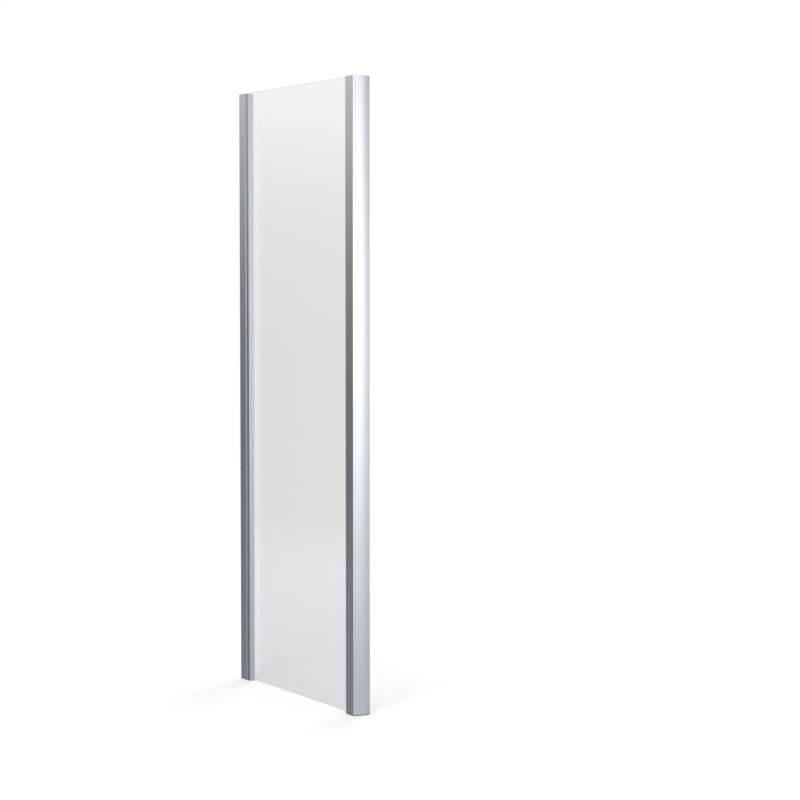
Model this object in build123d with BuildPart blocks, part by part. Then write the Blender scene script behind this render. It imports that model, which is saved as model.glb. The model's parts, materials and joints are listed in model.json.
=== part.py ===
from build123d import *
import os

# A shower side panel: a glass pane between a wall channel and a corner post.
# X runs from the wall to the post, Y across the glass and Z up, in millimetres.
# The origin is where the wall meets the floor, on the middle plane of the glass.
# The outside of the shower is towards -Y. The panel stands pushed right into its channel.

# Overall sizes
panel_width = 765.0
panel_height = 1900.0
profile_drop = 4.0
adjustment = 20.0

# Glass and the pockets that hold it
glass_thickness = 6.0
glass_top_drop = 1.0
glass_chamfer = 0.4
gasket_thickness = 2.2
gasket_tip_radius = 1.0
edge_gap = 2.0
block_thickness = 2.0
block_length = 14.0
spacer_length = 60.0
spacer_end_distance = 170.0

# Wall channel
channel_web = 1.8
channel_flange = 1.6
channel_outer_depth = 42.0
channel_inner_depth = 38.0
channel_lip_radius = 0.5
slide_gap = 0.4

# Glazing jamb, which slides in the channel
jamb_wall = 1.5
jamb_outer_reach = 21.0
jamb_tail_x = 8.0
jamb_front_x = 61.0
jamb_pocket_x = 28.0
jamb_inner_lip_x = 43.0
jamb_corner_radius = 0.3
jamb_outer_gasket_tip = 2.0
jamb_inner_gasket_tip = 1.5
jamb_gasket_inset = 5.0

# Corner post
post_wall = 1.8
post_outer_reach = 21.0
post_inner_reach = 36.0
post_depth = 45.2
post_bow = 5.0
post_outside_radius = 1.6
post_door_radius = 5.0
post_back_radius = 0.4
post_pocket_depth = 18.0
post_pocket_wall = 1.5
post_gasket_length = 12.0
post_gasket_tip = 1.8

# Front cover of the post and its snap hooks
seam_distance = 7.4
seam_gap = 0.3
cover_side_length = 8.5
hook_wall = 1.5
hook_length = 8.5
barb_length = 2.0
barb_height = 2.4
tongue_length = 3.0
tongue_root = 3.5

# End pieces
cap_height = 7.0
cap_edge_radius = 1.2
cap_seam_chamfer = 0.4
foot_thickness = 3.0
foot_inset = 0.2
plug_width = 6.0
plug_depth = 12.0
plug_gap = 0.2
lid_thickness = 2.0
lid_wall = 1.5

# Screw ports of the post and the foot screws
port_radius = 3.4
port_core_radius = 1.65
port_corner_distance = 4.8
port_front_distance = 12.0
foot_screw_radius = 1.6
foot_screw_length = 16.0
foot_screw_head_radius = 3.7
foot_hole_radius = 2.1
countersink_clearance = 0.2
drive_width = 1.0
drive_length = 3.6
drive_depth = 1.1

# Holes for the wall screws and for the screws into the door frame
fixing_hole_radius = 2.75
fixing_end_distance = 98.0
fixing_inner_spacing = 600.0
door_hole_front_distance = 21.5

# Adjusting screws, their cup washers and snap covers
adjust_end_distance = 120.0
adjust_wall_distance = 13.0
adjust_screw_radius = 2.0
adjust_slot_clearance = 0.3
adjust_thread_clearance = 0.05
adjust_reach = 3.0
adjust_head_radius = 3.9
adjust_head_height = 2.4
washer_radius = 5.6
washer_thickness = 1.2
washer_rim_width = 0.9
washer_rim_height = 1.2
washer_gap = 0.1
cover_radius = 6.9
cover_wall = 1.0
cover_height = 6.0
cover_edge_radius = 1.5

# Places worked out from the sizes above
half_glass = glass_thickness / 2
pocket_half = half_glass + gasket_thickness
profile_height = panel_height - profile_drop
middle_z = profile_height / 2
glass_bottom_z = block_thickness
glass_top_z = panel_height - glass_top_drop
jamb_inner_reach = pocket_half + jamb_wall
jamb_top_z = profile_height - lid_thickness
channel_outer_reach = jamb_outer_reach + slide_gap + channel_flange
channel_inner_reach = jamb_inner_reach + slide_gap + channel_flange
post_corner_x = panel_width - post_bow
post_back_x = post_corner_x - post_depth
post_pocket_x = post_back_x + post_pocket_depth
post_web_x = post_pocket_x + post_pocket_wall
post_middle_y = (post_inner_reach - post_outer_reach) / 2
post_top_z = panel_height - cap_height
glass_wall_x = jamb_pocket_x + edge_gap
glass_post_x = post_pocket_x - edge_gap
seam_y = seam_distance - post_outer_reach
cover_back_x = post_corner_x - cover_side_length
door_hole_x = panel_width - door_hole_front_distance
channel_middle_y = (channel_inner_reach - channel_outer_reach) / 2
fixing_heights = [
    middle_z + side * spacing / 2
    for spacing in (profile_height - 2 * fixing_end_distance, fixing_inner_spacing)
    for side in (-1, 1)
]
adjust_heights = [adjust_end_distance, middle_z, profile_height - adjust_end_distance]
port_places = [
    (post_back_x + port_corner_distance, port_corner_distance - post_outer_reach),
    (post_back_x + port_corner_distance, post_inner_reach - port_corner_distance),
    (post_corner_x - port_front_distance, port_corner_distance - post_outer_reach),
]
os.makedirs("parts", exist_ok=True)


def rect(x0, x1, y0, y1, mode=Mode.ADD):
    """A rectangle between two corners, drawn in the sketch that is open."""
    with Locations(((x0 + x1) / 2, (y0 + y1) / 2)):
        Rectangle(x1 - x0, y1 - y0, mode=mode)


def post_outline(inset=0.0):
    """The outline of the post seen from above, drawn in by inset."""
    with BuildSketch() as outline:
        with BuildLine():
            Polyline(
                (post_corner_x, -post_outer_reach),
                (post_back_x, -post_outer_reach),
                (post_back_x, post_inner_reach),
                (post_corner_x, post_inner_reach),
            )
            ThreePointArc(
                (post_corner_x, post_inner_reach),
                (panel_width, post_middle_y),
                (post_corner_x, -post_outer_reach),
            )
        make_face()
        back_corners = outline.vertices().group_by(Axis.X)[0]
        outside_corner, door_corner = outline.vertices().group_by(Axis.X)[-1].sort_by(Axis.Y)
        fillet(outside_corner, post_outside_radius)
        fillet(door_corner, post_door_radius)
        fillet(back_corners, post_back_radius)
        if inset:
            offset(amount=-inset)
    return outline.sketch


# Wall channel: a U profile, its longer flange outside, with round holes in the web for the
# wall screws and slots in the inner flange for the adjusting screws
slot_length = adjustment + 2 * (adjust_screw_radius + adjust_slot_clearance)
slot_x = adjust_wall_distance + adjustment / 2
with BuildPart() as wall_channel:
    with BuildSketch() as channel_section:
        rect(0, channel_web, -channel_outer_reach, channel_inner_reach)
        rect(0, channel_outer_depth, -channel_outer_reach, channel_flange - channel_outer_reach)
        rect(0, channel_inner_depth, channel_inner_reach - channel_flange, channel_inner_reach)
        lip = channel_section.vertices().group_by(Axis.X)[-1].sort_by(Axis.Y)[0]
        fillet(lip, channel_lip_radius)
    extrude(amount=profile_height)
    with BuildSketch(Plane.YZ):
        with Locations(*[(channel_middle_y, z) for z in fixing_heights]):
            Circle(fixing_hole_radius)
    extrude(amount=channel_web, mode=Mode.SUBTRACT)
    with BuildSketch(Plane.XZ.offset(-channel_inner_reach)):
        with Locations(*[(slot_x, z) for z in adjust_heights]):
            SlotOverall(slot_length, 2 * (adjust_screw_radius + adjust_slot_clearance))
    extrude(amount=channel_flange, mode=Mode.SUBTRACT)
wall_channel.part.label = "wall_channel"
export_step(wall_channel.part, "parts/wall_channel.step")

# Channel lid: closes the top of the channel between its web and the jamb's tail
lid_y0 = channel_flange - channel_outer_reach + plug_gap
lid_y1 = channel_inner_reach - channel_flange - plug_gap
lid_x0 = channel_web + plug_gap
lid_x1 = jamb_tail_x - slide_gap
with BuildPart() as channel_lid:
    with BuildSketch(Plane.XY.offset(profile_height - plug_depth)):
        rect(lid_x0, lid_x1, lid_y0, lid_y1)
    extrude(amount=plug_depth)
    with BuildSketch(Plane.XY.offset(profile_height - plug_depth)):
        rect(lid_x0 + lid_wall, lid_x1 - lid_wall, lid_y0 + lid_wall, lid_y1 - lid_wall)
    extrude(amount=plug_depth - lid_thickness, mode=Mode.SUBTRACT)
channel_lid.part.label = "channel_lid"
export_step(channel_lid.part, "parts/channel_lid.step")

# Glazing jamb: two chambers outside the glass, a tail chamber behind its edge and a short
# inner lip, with holes in the tail that take the threads of the adjusting screws
outer_chamber_y = (jamb_wall - jamb_outer_reach, -pocket_half - jamb_wall)
tail_chamber = (jamb_tail_x + jamb_wall, jamb_pocket_x - jamb_wall)
front_chamber = (jamb_pocket_x, jamb_front_x - jamb_wall)


def jamb_outline():
    """The jamb seen from above, its chambers filled and its glass pocket open."""
    with BuildSketch() as outline:
        rect(jamb_tail_x, jamb_front_x, -jamb_outer_reach, -pocket_half)
        rect(jamb_tail_x, jamb_pocket_x, -pocket_half, jamb_inner_reach)
        rect(jamb_pocket_x, jamb_inner_lip_x, pocket_half, jamb_inner_reach)
        fillet(outline.vertices().group_by(Axis.X)[-1], jamb_corner_radius)
    return outline.sketch


with BuildPart() as glazing_jamb:
    with BuildSketch():
        add(jamb_outline())
        rect(*tail_chamber, *outer_chamber_y, mode=Mode.SUBTRACT)
        rect(*front_chamber, *outer_chamber_y, mode=Mode.SUBTRACT)
        rect(*tail_chamber, -pocket_half, pocket_half, mode=Mode.SUBTRACT)
    extrude(amount=jamb_top_z)
    with BuildSketch(Plane.XZ.offset(-jamb_inner_reach)):
        with Locations(*[(adjust_wall_distance, z) for z in adjust_heights]):
            Circle(adjust_screw_radius + adjust_thread_clearance)
    extrude(amount=jamb_wall, mode=Mode.SUBTRACT)
glazing_jamb.part.label = "glazing_jamb"
export_step(glazing_jamb.part, "parts/glazing_jamb.step")

# Jamb lid: a plate on top of the jamb with plugs in two of its chambers
with BuildPart() as jamb_lid:
    with BuildSketch(Plane.XY.offset(jamb_top_z)):
        add(jamb_outline())
    extrude(amount=lid_thickness)
    with BuildSketch(Plane.XY.offset(jamb_top_z)):
        rect(
            front_chamber[0] + plug_gap,
            front_chamber[1] - plug_gap,
            outer_chamber_y[0] + plug_gap,
            outer_chamber_y[1] - plug_gap,
        )
        rect(
            tail_chamber[0] + plug_gap,
            tail_chamber[1] - plug_gap,
            plug_gap - pocket_half,
            pocket_half - plug_gap,
        )
    extrude(amount=-plug_depth)
jamb_lid.part.label = "jamb_lid"
export_step(jamb_lid.part, "parts/jamb_lid.step")

# Glass pane, with its arrises taken off all round
with BuildPart() as glass_pane:
    with BuildSketch(Plane.XY.offset(glass_bottom_z)):
        rect(glass_wall_x, glass_post_x, -half_glass, half_glass)
    extrude(amount=glass_top_z - glass_bottom_z)
    chamfer(glass_pane.edges(), glass_chamfer)
glass_pane.part.label = "glass_pane"
export_step(glass_pane.part, "parts/glass_pane.step")


def gasket(x_hidden, x_tip, side):
    """A glazing gasket seen from above, its rounded tip outside the pocket."""
    y0, y1 = sorted((side * half_glass, side * pocket_half))
    with BuildSketch() as section:
        rect(min(x_hidden, x_tip), max(x_hidden, x_tip), y0, y1)
        tip = section.vertices().sort_by_distance((x_tip, side * pocket_half))[0]
        fillet(tip, gasket_tip_radius)
    return section.sketch


# Gaskets of the jamb: the outer one reaches out of the profile with a longer lip
jamb_gasket_x = jamb_pocket_x + jamb_gasket_inset
with BuildPart() as jamb_gasket_outer:
    with BuildSketch():
        add(gasket(jamb_gasket_x, jamb_front_x + jamb_outer_gasket_tip, -1))
    extrude(amount=profile_height)
jamb_gasket_outer.part.label = "jamb_gasket_outer"
export_step(jamb_gasket_outer.part, "parts/jamb_gasket_outer.step")

with BuildPart() as jamb_gasket_inner:
    with BuildSketch():
        add(gasket(jamb_gasket_x, jamb_inner_lip_x + jamb_inner_gasket_tip, 1))
    extrude(amount=profile_height)
jamb_gasket_inner.part.label = "jamb_gasket_inner"
export_step(jamb_gasket_inner.part, "parts/jamb_gasket_inner.step")

# Gaskets of the post, one on each side of the glass
post_gasket_x = post_back_x + post_gasket_length
with BuildPart() as post_gasket_outer:
    with BuildSketch():
        add(gasket(post_gasket_x, post_back_x - post_gasket_tip, -1))
    extrude(amount=post_top_z)
post_gasket_outer.part.label = "post_gasket_outer"
export_step(post_gasket_outer.part, "parts/post_gasket_outer.step")

with BuildPart() as post_gasket_inner:
    with BuildSketch():
        add(gasket(post_gasket_x, post_back_x - post_gasket_tip, 1))
    extrude(amount=post_top_z)
post_gasket_inner.part.label = "post_gasket_inner"
export_step(post_gasket_inner.part, "parts/post_gasket_inner.step")

# Setting blocks, which carry the glass on the floor at the two ends of its lower edge
for end, block_x in (("wall", glass_wall_x), ("post", glass_post_x - block_length)):
    with BuildPart() as setting_block:
        with BuildSketch():
            rect(block_x, block_x + block_length, -half_glass, half_glass)
        extrude(amount=block_thickness)
    setting_block.part.label = f"setting_block_{end}"
    export_step(setting_block.part, f"parts/setting_block_{end}.step")

# Edge spacers between the upright edges of the glass and the floors of the two pockets
for end, spacer_x in (("wall", jamb_pocket_x), ("post", glass_post_x)):
    for level, spacer_z in (
        ("low", spacer_end_distance),
        ("high", profile_height - spacer_end_distance - spacer_length),
    ):
        with BuildPart() as edge_spacer:
            with BuildSketch(Plane.XY.offset(spacer_z)):
                rect(spacer_x, spacer_x + edge_gap, -half_glass, half_glass)
            extrude(amount=spacer_length)
        edge_spacer.part.label = f"edge_spacer_{end}_{level}"
        export_step(edge_spacer.part, f"parts/edge_spacer_{end}_{level}.step")

# Corner post: the glass pocket, a cross web behind it and three screw ports, open at the
# front so that the screws into the door frame can be reached
with BuildPart() as corner_post:
    with BuildSketch(Plane.XY.offset(foot_thickness)):
        add(post_outline())
        add(post_outline(post_wall), mode=Mode.SUBTRACT)
        rect(
            cover_back_x - seam_gap,
            panel_width + post_wall,
            seam_y - seam_gap,
            post_inner_reach + post_wall,
            mode=Mode.SUBTRACT,
        )
        rect(post_pocket_x, post_web_x, post_wall - post_outer_reach, post_inner_reach - post_wall)
        rect(
            post_back_x + post_wall / 2,
            post_web_x,
            -pocket_half - post_pocket_wall,
            pocket_half + post_pocket_wall,
        )
        rect(post_back_x, post_pocket_x, -pocket_half, pocket_half, mode=Mode.SUBTRACT)
        with Locations(*port_places):
            Circle(port_radius)
            Circle(port_core_radius, mode=Mode.SUBTRACT)
    extrude(amount=post_top_z - foot_thickness)
    with BuildSketch(Plane.XZ.offset(-post_inner_reach)):
        with Locations(*[(door_hole_x, z) for z in fixing_heights]):
            Circle(fixing_hole_radius)
    extrude(amount=post_wall, mode=Mode.SUBTRACT)
corner_post.part.label = "corner_post"
export_step(corner_post.part, "parts/corner_post.step")

# Front cover: the bowed face, wrapped round the door-side corner, with a hook behind the
# post's return and a tongue inside its door-side wall
hook_front_x = post_corner_x + post_wall / 2
barb_front_x = post_corner_x - seam_gap - post_wall / 2
tongue_outer_y = post_inner_reach - post_wall
tongue_inner_y = tongue_outer_y - seam_gap - hook_wall
tongue_front_x = cover_back_x + tongue_root
with BuildPart() as post_cover:
    with BuildSketch(Plane.XY.offset(foot_thickness)):
        add(post_outline())
        add(post_outline(post_wall), mode=Mode.SUBTRACT)
        rect(
            cover_back_x,
            panel_width + post_wall,
            seam_y,
            post_inner_reach + post_wall,
            mode=Mode.INTERSECT,
        )
        rect(hook_front_x - hook_length, hook_front_x, seam_y, seam_y + hook_wall)
        rect(barb_front_x - barb_length, barb_front_x, seam_y - barb_height, seam_y)
        rect(
            cover_back_x - tongue_length,
            tongue_front_x,
            tongue_inner_y,
            tongue_outer_y - seam_gap,
        )
        rect(cover_back_x + seam_gap, tongue_front_x, tongue_inner_y, post_inner_reach - post_wall / 2)
    extrude(amount=post_top_z - foot_thickness)
post_cover.part.label = "post_cover"
export_step(post_cover.part, "parts/post_cover.step")

# Top cap of the post: rounded above, chamfered at the seam below, slotted for the glass and
# with a bar that plugs into the post between its two side walls
bar_x0 = post_web_x + plug_gap
bar_y0 = post_wall - post_outer_reach + plug_gap
bar_y1 = post_inner_reach - post_wall - plug_gap
with BuildPart() as post_cap:
    with BuildSketch(Plane.XY.offset(post_top_z)):
        add(post_outline())
    extrude(amount=cap_height)
    fillet(post_cap.faces().sort_by(Axis.Z)[-1].edges(), cap_edge_radius)
    chamfer(post_cap.faces().sort_by(Axis.Z)[0].edges(), cap_seam_chamfer)
    with BuildSketch(Plane.XY.offset(post_top_z)):
        rect(post_back_x, glass_post_x + edge_gap / 2, -half_glass - plug_gap, half_glass + plug_gap)
    extrude(amount=cap_height, mode=Mode.SUBTRACT)
    with BuildSketch(Plane.XY.offset(post_top_z)):
        rect(bar_x0, bar_x0 + plug_width, bar_y0, bar_y1)
    extrude(amount=-plug_depth)
post_cap.part.label = "post_cap"
export_step(post_cap.part, "parts/post_cap.step")

# Foot plate of the post, screwed up into the three ports
with BuildPart() as post_foot:
    with BuildSketch():
        add(post_outline(foot_inset))
        rect(post_back_x, post_pocket_x, -pocket_half, pocket_half, mode=Mode.SUBTRACT)
    extrude(amount=foot_thickness)
    with BuildSketch(Plane.XY.offset(foot_thickness)):
        rect(bar_x0, bar_x0 + plug_width, bar_y0, bar_y1)
    extrude(amount=plug_depth)
    with Locations(*[Location((x, y, 0), (180, 0, 0)) for x, y in port_places]):
        CounterSinkHole(
            foot_hole_radius,
            foot_screw_head_radius + countersink_clearance,
            depth=foot_thickness,
            counter_sink_angle=90,
        )
post_foot.part.label = "post_foot"
export_step(post_foot.part, "parts/post_foot.step")

# Foot screws: countersunk heads with a cross recess, flush with the foot plate
with BuildPart() as foot_screws:
    for x, y in port_places:
        with BuildSketch(Plane((x, y, 0), x_dir=(1, 0, 0), z_dir=(0, -1, 0))):
            with BuildLine():
                Polyline(
                    (0, 0),
                    (foot_screw_head_radius, 0),
                    (foot_screw_radius, foot_screw_head_radius - foot_screw_radius),
                    (foot_screw_radius, foot_screw_length),
                    (0, foot_screw_length),
                    close=True,
                )
            make_face()
        revolve(axis=Axis((x, y, 0), (0, 0, 1)))
    with BuildSketch():
        with Locations(*port_places):
            Rectangle(drive_length, drive_width)
            Rectangle(drive_width, drive_length)
    extrude(amount=drive_depth, mode=Mode.SUBTRACT)
foot_screws.part.label = "foot_screws"
export_step(foot_screws.part, "parts/foot_screws.step")

# Adjusting screws: pan heads on the shower side, shanks through the slots into the jamb
washer_base_y = channel_inner_reach + washer_gap
head_base_y = washer_base_y + washer_thickness
head_top_y = head_base_y + adjust_head_height
with BuildPart() as adjusting_screws:
    with BuildSketch(Plane.XZ.offset(-head_base_y)):
        with Locations(*[(adjust_wall_distance, z) for z in adjust_heights]):
            Circle(adjust_screw_radius)
    extrude(amount=head_base_y - pocket_half + adjust_reach)
    with BuildSketch(Plane.XZ.offset(-head_base_y)):
        with Locations(*[(adjust_wall_distance, z) for z in adjust_heights]):
            Circle(adjust_head_radius)
    extrude(amount=-adjust_head_height)
    fillet(
        adjusting_screws.faces().filter_by(Axis.Y).group_by(Axis.Y)[-1].edges(),
        adjust_head_height / 2,
    )
    with BuildSketch(Plane.XZ.offset(-head_top_y)):
        with Locations(*[(adjust_wall_distance, z) for z in adjust_heights]):
            Rectangle(drive_length, drive_width)
            Rectangle(drive_width, drive_length)
    extrude(amount=drive_depth, mode=Mode.SUBTRACT)
adjusting_screws.part.label = "adjusting_screws"
export_step(adjusting_screws.part, "parts/adjusting_screws.step")

# Cup washers under the heads, with the rims that the covers snap onto
with BuildPart() as cup_washers:
    with BuildSketch(Plane.XZ.offset(-washer_base_y)):
        with Locations(*[(adjust_wall_distance, z) for z in adjust_heights]):
            Circle(washer_radius)
    extrude(amount=-washer_thickness - washer_rim_height)
    with BuildSketch(Plane.XZ.offset(-head_base_y)):
        with Locations(*[(adjust_wall_distance, z) for z in adjust_heights]):
            Circle(washer_radius - washer_rim_width)
    extrude(amount=-washer_rim_height, mode=Mode.SUBTRACT)
    with BuildSketch(Plane.XZ.offset(-washer_base_y)):
        with Locations(*[(adjust_wall_distance, z) for z in adjust_heights]):
            Circle(adjust_screw_radius + adjust_thread_clearance)
    extrude(amount=-washer_thickness, mode=Mode.SUBTRACT)
cup_washers.part.label = "cup_washers"
export_step(cup_washers.part, "parts/cup_washers.step")

# Snap covers over the screw heads
for level, cover_z in zip(("low", "middle", "high"), adjust_heights):
    with BuildPart() as screw_cover:
        with BuildSketch(Plane.XZ.offset(-washer_base_y)):
            with Locations((adjust_wall_distance, cover_z)):
                Circle(cover_radius)
        extrude(amount=-cover_height)
        fillet(screw_cover.faces().sort_by(Axis.Y)[-1].edges(), cover_edge_radius)
        with BuildSketch(Plane.XZ.offset(-washer_base_y)):
            with Locations((adjust_wall_distance, cover_z)):
                Circle(cover_radius - cover_wall)
        extrude(amount=cover_wall - cover_height, mode=Mode.SUBTRACT)
    screw_cover.part.label = f"screw_cover_{level}"
    export_step(screw_cover.part, f"parts/screw_cover_{level}.step")
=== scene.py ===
import json
import math

import bpy
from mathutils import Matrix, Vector

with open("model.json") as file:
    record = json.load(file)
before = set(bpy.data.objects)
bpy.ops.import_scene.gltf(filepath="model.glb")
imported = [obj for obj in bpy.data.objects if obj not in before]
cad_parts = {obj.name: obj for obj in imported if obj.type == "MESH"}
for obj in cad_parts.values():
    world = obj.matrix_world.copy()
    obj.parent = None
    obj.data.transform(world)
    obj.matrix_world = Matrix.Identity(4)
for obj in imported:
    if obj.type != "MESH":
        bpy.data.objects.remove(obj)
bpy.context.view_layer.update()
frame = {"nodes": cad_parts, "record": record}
nodes = frame["nodes"]
scene = bpy.context.scene

# Camera, at the photograph's viewing angle (metres, millimetres for the lens)
CAMERA_PLACE = (6.69374, -3.25589, 1.28657)
CAMERA_TURN = math.radians(60.22)
CAMERA_DIP = math.radians(2.91)
CAMERA_LENS = 102.90
CAMERA_SENSOR = 36.0
CAMERA_REACH = 200.0

# The range that most of a noise texture's values fall in
NOISE_LOW = 0.3
NOISE_HIGH = 0.7

# Glass: its refractive index, and the Y of a surface's normal where edges give way to faces
GLASS_INDEX = 1.52
FACE_START = 0.8
FACE_END = 0.95

# Floor, in metres: half its side, how far it lies below the part, and where it turns pure white.
# Then the strength of its own light, and how much darker it is through the glass
FLOOR_HALF = 60.0
FLOOR_DROP = 0.0005
WHITE_START = 1.5
WHITE_END = 6.0
FLOOR_GLOW = 0.3
FLOOR_VEIL = 0.12

# World: how far the studio is turned about Z, the azimuth at which its curves start, where on
# the climb from nadir (0) to zenith (1) its cool cast changes, and the light that isn't mirrored
STUDIO_TURN = 20.0
TURN_START = -180.0 - STUDIO_TURN
CAST_START = 0.47
CAST_END = 0.52
PLAIN_LIGHT = (0.62, 0.625, 0.635, 1.0)
WHITE = (1.0, 1.0, 1.0, 1.0)

# Lamps: square, in metres and watts
LAMP_TARGET = (0.4, 0.0, 0.8)
LAMP_SIDE = 3.0
KEY_PLACE = (4.5, -4.0, 4.5)
KEY_POWER = 140.0
FILL_PLACE = (-3.0, 4.0, 3.5)
FILL_POWER = 90.0

camera = bpy.data.objects.new("camera", bpy.data.cameras.new("camera"))
scene.collection.objects.link(camera)
camera.data.lens = CAMERA_LENS
camera.data.sensor_width = CAMERA_SENSOR
camera.data.clip_end = CAMERA_REACH
camera.location = CAMERA_PLACE
camera.rotation_euler = (math.pi / 2 - CAMERA_DIP, 0.0, CAMERA_TURN)
scene.camera = camera


class Tree:
    """A short way to write shader nodes: a call adds a node, feeds its inputs and gives its output."""

    MIX_FACTOR, MIX_A, MIX_B, MIX_RESULT = 0, 6, 7, 2  # a Mix node's sockets for colours

    def __init__(self, owner):
        owner.use_nodes = True
        self.tree = owner.node_tree
        self.tree.nodes.clear()

    def feed(self, node, inputs):
        """Links the inputs that are given as sockets and sets the others."""
        for name, value in inputs.items():
            if isinstance(value, bpy.types.NodeSocket):
                self.tree.links.new(value, node.inputs[name])
            else:
                node.inputs[name].default_value = value

    def add(self, kind, output=0, inputs=None, **settings):
        node = self.tree.nodes.new(kind)
        for name, value in settings.items():
            setattr(node, name, value)
        self.feed(node, inputs or {})
        return node.outputs[output]

    def math(self, operation, a, b=0.0):
        return self.add("ShaderNodeMath", operation=operation, inputs={0: a, 1: b})

    def blend(self, a, b, share):
        """a times share, plus b times the rest."""
        return self.math("ADD", self.math("MULTIPLY", a, share), self.math("MULTIPLY", b, 1.0 - share))

    def span(self, value, low, high, to_low=0.0, to_high=1.0, smooth=True):
        return self.add(
            "ShaderNodeMapRange",
            interpolation_type="SMOOTHSTEP" if smooth else "LINEAR",
            inputs={0: value, 1: low, 2: high, 3: to_low, 4: to_high},
        )

    def vary(self, noise, low, high):
        """A value that goes from low to high with a noise."""
        return self.span(noise, NOISE_LOW, NOISE_HIGH, low, high)

    def curve(self, value, points):
        """A value read off a curve through (place, height) points, places rising from 0 to 1."""
        node = self.tree.nodes.new("ShaderNodeFloatCurve")
        self.tree.links.new(value, node.inputs["Value"])
        line = node.mapping.curves[0]
        line.points[0].location = points[0]
        line.points[1].location = points[-1]
        for place, height in points[1:-1]:
            line.points.new(place, height)
        for point in line.points:
            point.handle_type = "AUTO_CLAMPED"
        node.mapping.use_clip = False
        node.mapping.update()
        return node.outputs[0]

    def mix(self, factor, a, b):
        node = self.tree.nodes.new("ShaderNodeMix")
        node.data_type = "RGBA"
        self.feed(node, {self.MIX_FACTOR: factor, self.MIX_A: a, self.MIX_B: b})
        return node.outputs[self.MIX_RESULT]

    def place(self, x, y, z):
        """Object coordinates with each axis multiplied, in metres."""
        here = self.add("ShaderNodeTexCoord", output="Object")
        return self.add("ShaderNodeMapping", inputs={"Vector": here, "Scale": (x, y, z)})

    def noise(self, scale, detail=2.0, roughness=0.5, x=1.0, y=1.0, z=1.0):
        """Noise over the object, scale in cells per metre; x, y or z below 1 draws it out that way."""
        inputs = {"Vector": self.place(x, y, z), "Scale": scale, "Detail": detail, "Roughness": roughness}
        return self.add("ShaderNodeTexNoise", inputs=inputs)

    def bump(self, height, strength, distance, normal=None):
        inputs = {"Height": height, "Strength": strength, "Distance": distance}
        if normal is not None:
            inputs["Normal"] = normal
        return self.add("ShaderNodeBump", inputs=inputs)

    def principled(self, base, roughness, normal, **more):
        inputs = {"Base Color": base, "Roughness": roughness, "Normal": normal, **more}
        return self.add("ShaderNodeBsdfPrincipled", inputs=inputs)

    def behind_glass(self):
        """1 for a ray that has come through the glass once or more, otherwise 0."""
        passed = self.add("ShaderNodeLightPath", output="Transparent Depth")
        return self.math("GREATER_THAN", passed, 0.5)

    def finish(self, kind, shader):
        """The output node of the whole tree."""
        self.feed(self.tree.nodes.new(kind), {0: shader})


def colour(red, green, blue):
    """A colour given as it looks on screen (sRGB), from 0 to 1 each."""
    linear = [c / 12.92 if c <= 0.04045 else ((c + 0.055) / 1.055) ** 2.4 for c in (red, green, blue)]
    return (*linear, 1.0)


def surface(name, build):
    """A material whose tree ends in the shader that build gives."""
    material = bpy.data.materials.new(name)
    tree = Tree(material)
    tree.finish("ShaderNodeOutputMaterial", build(tree))
    return material


def aluminium(t, dark, light, rough_low, rough_high):
    """Extruded and anodised: fine die lines along Z, and faint clouds in the finish."""
    lines = t.noise(scale=2600.0, detail=3.0, roughness=0.6, z=0.003)
    broad = t.noise(scale=160.0, z=0.006)
    clouds = t.noise(scale=9.0, detail=3.0, z=0.35)
    tone = t.vary(t.blend(broad, clouds, 0.5), 0.0, 1.0)
    base = t.mix(tone, dark, light)
    rough = t.span(t.blend(lines, clouds, 0.6), low=0.25, high=0.75, to_low=rough_low, to_high=rough_high)
    fine = t.bump(lines, strength=0.1, distance=0.00003)
    normal = t.bump(broad, strength=0.03, distance=0.0004, normal=fine)
    return t.principled(base, rough, normal, Metallic=1.0)


def bright_aluminium(t):
    """The channel, the post and its cover: polished before anodising."""
    return aluminium(t, colour(0.925, 0.932, 0.945), colour(0.955, 0.96, 0.968), 0.13, 0.19)


def satin_shaded_aluminium(t):
    """The glazing jamb: rougher than the profiles beside it, with a darker base colour that is painted shade
    from the wall channel round it.
    """
    return aluminium(t, colour(0.793, 0.8, 0.814), colour(0.823, 0.83, 0.84), 0.22, 0.28)


def silvered_plastic(t):
    """Moulded end pieces with a silver coat over a fine grain."""
    grain = t.noise(scale=4200.0)
    base = t.mix(t.noise(scale=60.0), colour(0.935, 0.94, 0.95), colour(0.96, 0.964, 0.972))
    normal = t.bump(grain, strength=0.08, distance=0.00005)
    return t.principled(base, t.vary(grain, 0.13, 0.19), normal, Metallic=1.0)


def grey_plastic(t):
    """The foot plate: plain moulded plastic, a little scuffed."""
    grain = t.noise(scale=2800.0, detail=3.0)
    scuffs = t.noise(scale=90.0, detail=4.0, roughness=0.65)
    worn = t.span(scuffs, low=0.35, high=0.7)
    base = t.mix(worn, colour(0.47, 0.475, 0.49), colour(0.56, 0.565, 0.58))
    normal = t.bump(grain, strength=0.25, distance=0.00008)
    return t.principled(base, t.vary(scuffs, 0.42, 0.58), normal)


def pale_vinyl(t):
    """Gaskets: pale vinyl, a little uneven in tone, with lines along Z from its die."""
    lines = t.noise(scale=1500.0, z=0.01)
    base = t.mix(t.noise(scale=30.0, z=0.2), colour(0.84, 0.86, 0.89), colour(0.9, 0.915, 0.94))
    normal = t.bump(lines, strength=0.2, distance=0.0001)
    return t.principled(base, t.vary(lines, 0.28, 0.4), normal)


def firm_vinyl(t):
    """Setting blocks and edge spacers: cut from strip, with saw marks."""
    marks = t.noise(scale=900.0, y=0.1)
    base = t.mix(marks, colour(0.76, 0.78, 0.8), colour(0.86, 0.875, 0.89))
    normal = t.bump(marks, strength=0.2, distance=0.0001)
    return t.principled(base, t.vary(marks, 0.4, 0.55), normal)


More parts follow.
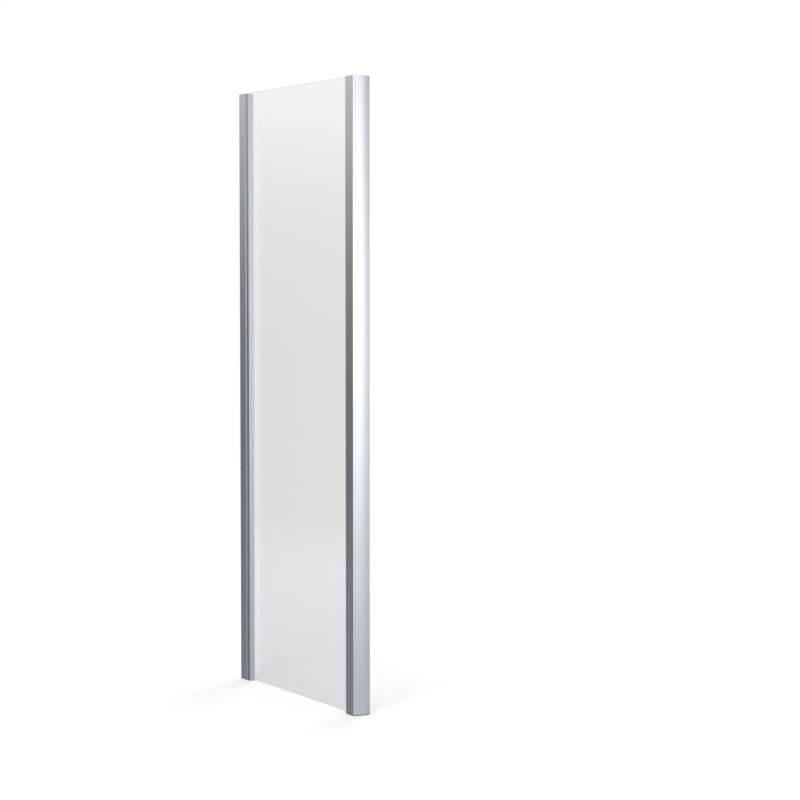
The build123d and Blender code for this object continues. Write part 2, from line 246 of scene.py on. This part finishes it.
def stainless(t):
    """Screws: turned and lightly brushed."""
    brush = t.noise(scale=3500.0, detail=3.0)
    base = t.mix(brush, colour(0.76, 0.765, 0.775), colour(0.86, 0.865, 0.87))
    normal = t.bump(brush, strength=0.1, distance=0.00004)
    return t.principled(base, t.vary(brush, 0.24, 0.36), normal, Metallic=1.0)


def nylon(t):
    """Cup washers: natural moulded nylon."""
    grain = t.noise(scale=1800.0, detail=3.0)
    base = t.mix(grain, colour(0.86, 0.855, 0.83), colour(0.91, 0.905, 0.885))
    normal = t.bump(grain, strength=0.15, distance=0.00006)
    return t.principled(base, t.vary(grain, 0.38, 0.5), normal)


def chromed_plastic(t):
    """Snap covers: bright chrome effect with faint waves of the moulding."""
    waves = t.noise(scale=120.0)
    base = t.mix(waves, colour(0.9, 0.905, 0.915), colour(0.94, 0.945, 0.955))
    normal = t.bump(waves, strength=0.05, distance=0.0004)
    return t.principled(base, t.vary(waves, 0.08, 0.14), normal, Metallic=1.0)


def clear_glass(t):
    """Clear toughened glass: see-through faces that mirror more at a slant, and green-blue ground edges."""
    normal = t.add("ShaderNodeNewGeometry", output="Normal")
    across = t.add("ShaderNodeSeparateXYZ", output="Y", inputs={0: normal})
    face = t.span(t.math("ABSOLUTE", across), FACE_START, FACE_END)

    waves = t.bump(t.noise(scale=5.0, detail=1.0, z=0.4), strength=0.02, distance=0.0006)
    film = t.noise(scale=40.0, detail=4.0, z=0.5)
    tint = t.mix(film, (0.984, 0.988, 0.997, 1.0), (0.99, 0.994, 1.0, 1.0))
    through = t.add("ShaderNodeBsdfTransparent", inputs={"Color": tint})
    mirror = t.add("ShaderNodeBsdfAnisotropic", inputs={"Color": WHITE, "Roughness": 0.02, "Normal": waves})
    back = t.add("ShaderNodeNewGeometry", output="Backfacing")
    index = t.span(back, 0.0, 1.0, GLASS_INDEX, 1 / GLASS_INDEX, smooth=False)
    shine = t.add("ShaderNodeFresnel", inputs={"IOR": index, "Normal": waves})
    faces = t.add("ShaderNodeMixShader", inputs={0: shine, 1: through, 2: mirror})

    ground = t.noise(scale=1500.0, detail=3.0)
    base = t.mix(ground, colour(0.7, 0.79, 0.775), colour(0.8, 0.87, 0.86))
    normal = t.bump(ground, strength=0.2, distance=0.00008)
    edges = t.principled(base, roughness=0.3, normal=normal, Alpha=0.6)
    return t.add("ShaderNodeMixShader", inputs={0: face, 1: edges, 2: faces})


FINISHES = {
    "profile": bright_aluminium,
    "end_cap": silvered_plastic,
    "foot": grey_plastic,
    "gasket": pale_vinyl,
    "block": firm_vinyl,
    "screw": stainless,
    "washer": nylon,
    "snap_cover": chromed_plastic,
    "glass": clear_glass,
}
materials = {slot: surface(slot, build) for slot, build in FINISHES.items()}
# The glazing jamb gets a rougher copy of the profile finish whose darker base colour is painted shade
shaded_jamb_material = surface("profile_jamb_painted_shade", satin_shaded_aluminium)
slot_of = {part["node"]: part["material_slot"] for part in frame["record"]["subparts"]}
for name, node in nodes.items():
    material = shaded_jamb_material if name == "glazing_jamb" else materials[slot_of[name]]
    for slot in node.material_slots:
        slot.material = material

# Floor
corners = [(-FLOOR_HALF, -FLOOR_HALF, 0), (FLOOR_HALF, -FLOOR_HALF, 0),
           (FLOOR_HALF, FLOOR_HALF, 0), (-FLOOR_HALF, FLOOR_HALF, 0)]
floor_mesh = bpy.data.meshes.new("floor")
floor_mesh.from_pydata(corners, [], [(0, 1, 2, 3)])
floor = bpy.data.objects.new("floor", floor_mesh)
scene.collection.objects.link(floor)
floor.location = (0.0, 0.0, -FLOOR_DROP)


def pale_floor(t):
    """Pale near the part, with its shadow, pure white far away, and a little darker through the glass."""
    place = t.place(1.0, 1.0, 0.0)
    distance = t.add("ShaderNodeVectorMath", output="Value", operation="LENGTH", inputs={0: place})
    away = t.span(distance, WHITE_START, WHITE_END)
    shade = t.mix(t.noise(scale=300.0, z=0.0), colour(0.9, 0.902, 0.906), colour(0.92, 0.922, 0.926))
    lit = t.add("ShaderNodeBsdfDiffuse", inputs={"Color": shade})
    own = t.add("ShaderNodeEmission", inputs={"Strength": FLOOR_GLOW})
    near = t.add("ShaderNodeAddShader", inputs={0: lit, 1: own})
    far = t.add("ShaderNodeEmission", inputs={"Strength": 1.0})
    open_floor = t.add("ShaderNodeMixShader", inputs={0: away, 1: near, 2: far})
    black = t.add("ShaderNodeEmission", inputs={"Strength": 0.0})
    veil = t.math("MULTIPLY", t.behind_glass(), FLOOR_VEIL)
    return t.add("ShaderNodeMixShader", inputs={0: veil, 1: open_floor, 2: black})


floor.data.materials.append(surface("floor", pale_floor))
floor.visible_glossy = False

# World: white behind the part, and for mirrored rays a studio with one large soft source and a
# bright open side round it, towards +X, and a greyer side elsewhere
world = bpy.data.worlds.new("world")
scene.world = world
t = Tree(world)
direction = t.add("ShaderNodeTexCoord", output="Generated")
turned = t.add(
    "ShaderNodeVectorRotate",
    rotation_type="Z_AXIS",
    inputs={"Vector": direction, "Angle": math.radians(STUDIO_TURN)},
)
x, y, z = [t.add("ShaderNodeSeparateXYZ", output=axis, inputs={0: turned}) for axis in "XYZ"]
around = t.span(t.math("ARCTAN2", y, x), -math.pi, math.pi, smooth=False)
lift = t.span(t.math("ARCSINE", z), -math.pi / 2, math.pi / 2, smooth=False)


def by_rise(points):
    """A curve over elevation, given as (degrees, height)."""
    return t.curve(lift, [((degrees + 90) / 180, value) for degrees, value in points])


def by_turn(points):
    """A curve over azimuth, given as (degrees from +X, height), for one turn from TURN_START."""
    return t.curve(around, [((degrees - TURN_START) / 360, value) for degrees, value in points])


grey_side = by_rise([
    (-90, 0.34), (-30, 0.3), (-12, 0.235), (-7.9, 0.205), (-5.4, 0.18), (-3, 0.17), (-1.2, 0.19),
    (0.8, 0.26), (2.2, 0.33), (3.5, 0.43), (5.1, 0.56), (9, 0.7), (25, 0.8), (90, 0.85),
])
open_side = by_rise([
    (-90, 0.5), (-30, 0.46), (-10.4, 0.46), (-7.9, 0.5), (-5.4, 0.52), (-3, 0.52), (0, 0.48),
    (3, 0.4), (6, 0.34), (12, 0.45), (30, 0.75), (90, 0.85),
])
source_rise = by_rise([
    (-90, 0.0), (-30, 0.0), (-12, 0.02), (-7.9, 0.17), (-5.4, 0.4), (-4.2, 0.56), (-2, 0.95),
    (0, 1.0), (3, 0.9), (6, 0.58), (12, 0.3), (30, 0.1), (90, 0.0),
])
source_turn = by_turn([
    (-200, 0.0), (-110, 0.0), (-70, 0.1), (-45, 0.3), (-25, 0.8), (-12, 1.02), (-5, 1.04), (5, 1.0),
    (20, 0.93), (30, 0.8), (45, 0.5), (58, 0.3), (72, 0.1), (90, 0.0), (160, 0.0),
])
open_share = by_turn([
    (-200, 0.0), (-110, 0.0), (-50, 0.8), (-20, 1.0), (60, 1.0), (90, 0.0), (160, 0.0),
])
opened = t.math("ADD", open_side, t.math("MULTIPLY", source_rise, source_turn))
grey_share = t.math("SUBTRACT", 1.0, open_share)
brightness = t.math("ADD", t.math("MULTIPLY", opened, open_share), t.math("MULTIPLY", grey_side, grey_share))
cast = t.mix(t.span(lift, CAST_START, CAST_END), (0.955, 1.0, 1.055, 1.0), (0.985, 1.0, 1.02, 1.0))
studio = t.add("ShaderNodeVectorMath", operation="SCALE", inputs={0: cast, "Scale": brightness})

# Through the glass the backdrop is a little less than white low down
veil = by_rise([
    (-90, 0.87), (-5, 0.88), (-1, 0.892), (0.85, 0.9), (2.1, 0.929), (3.7, 0.973), (4.8, 1.0), (90, 1.0),
])
backdrop = t.mix(t.behind_glass(), WHITE, veil)
path = "ShaderNodeLightPath"
white_ray = t.math("MAXIMUM", t.add(path, output="Is Camera Ray"), t.add(path, output="Is Transmission Ray"))
seen = t.mix(t.add(path, output="Is Glossy Ray"), PLAIN_LIGHT, studio)
seen = t.mix(white_ray, seen, backdrop)
t.finish("ShaderNodeOutputWorld", t.add("ShaderNodeBackground", inputs={"Color": seen, "Strength": 1.0}))


def soft_light(name, place, power):
    """A square area light that faces the part."""
    lamp = bpy.data.lights.new(name, "AREA")
    lamp.size = LAMP_SIDE
    lamp.energy = power
    light = bpy.data.objects.new(name, lamp)
    scene.collection.objects.link(light)
    light.location = place
    light.rotation_euler = (Vector(LAMP_TARGET) - Vector(place)).to_track_quat("-Z", "Y").to_euler()
    light.visible_glossy = False
    light.visible_camera = False


soft_light("key_light", KEY_PLACE, KEY_POWER)
soft_light("fill_light", FILL_PLACE, FILL_POWER)

scene.view_settings.view_transform = "Standard"
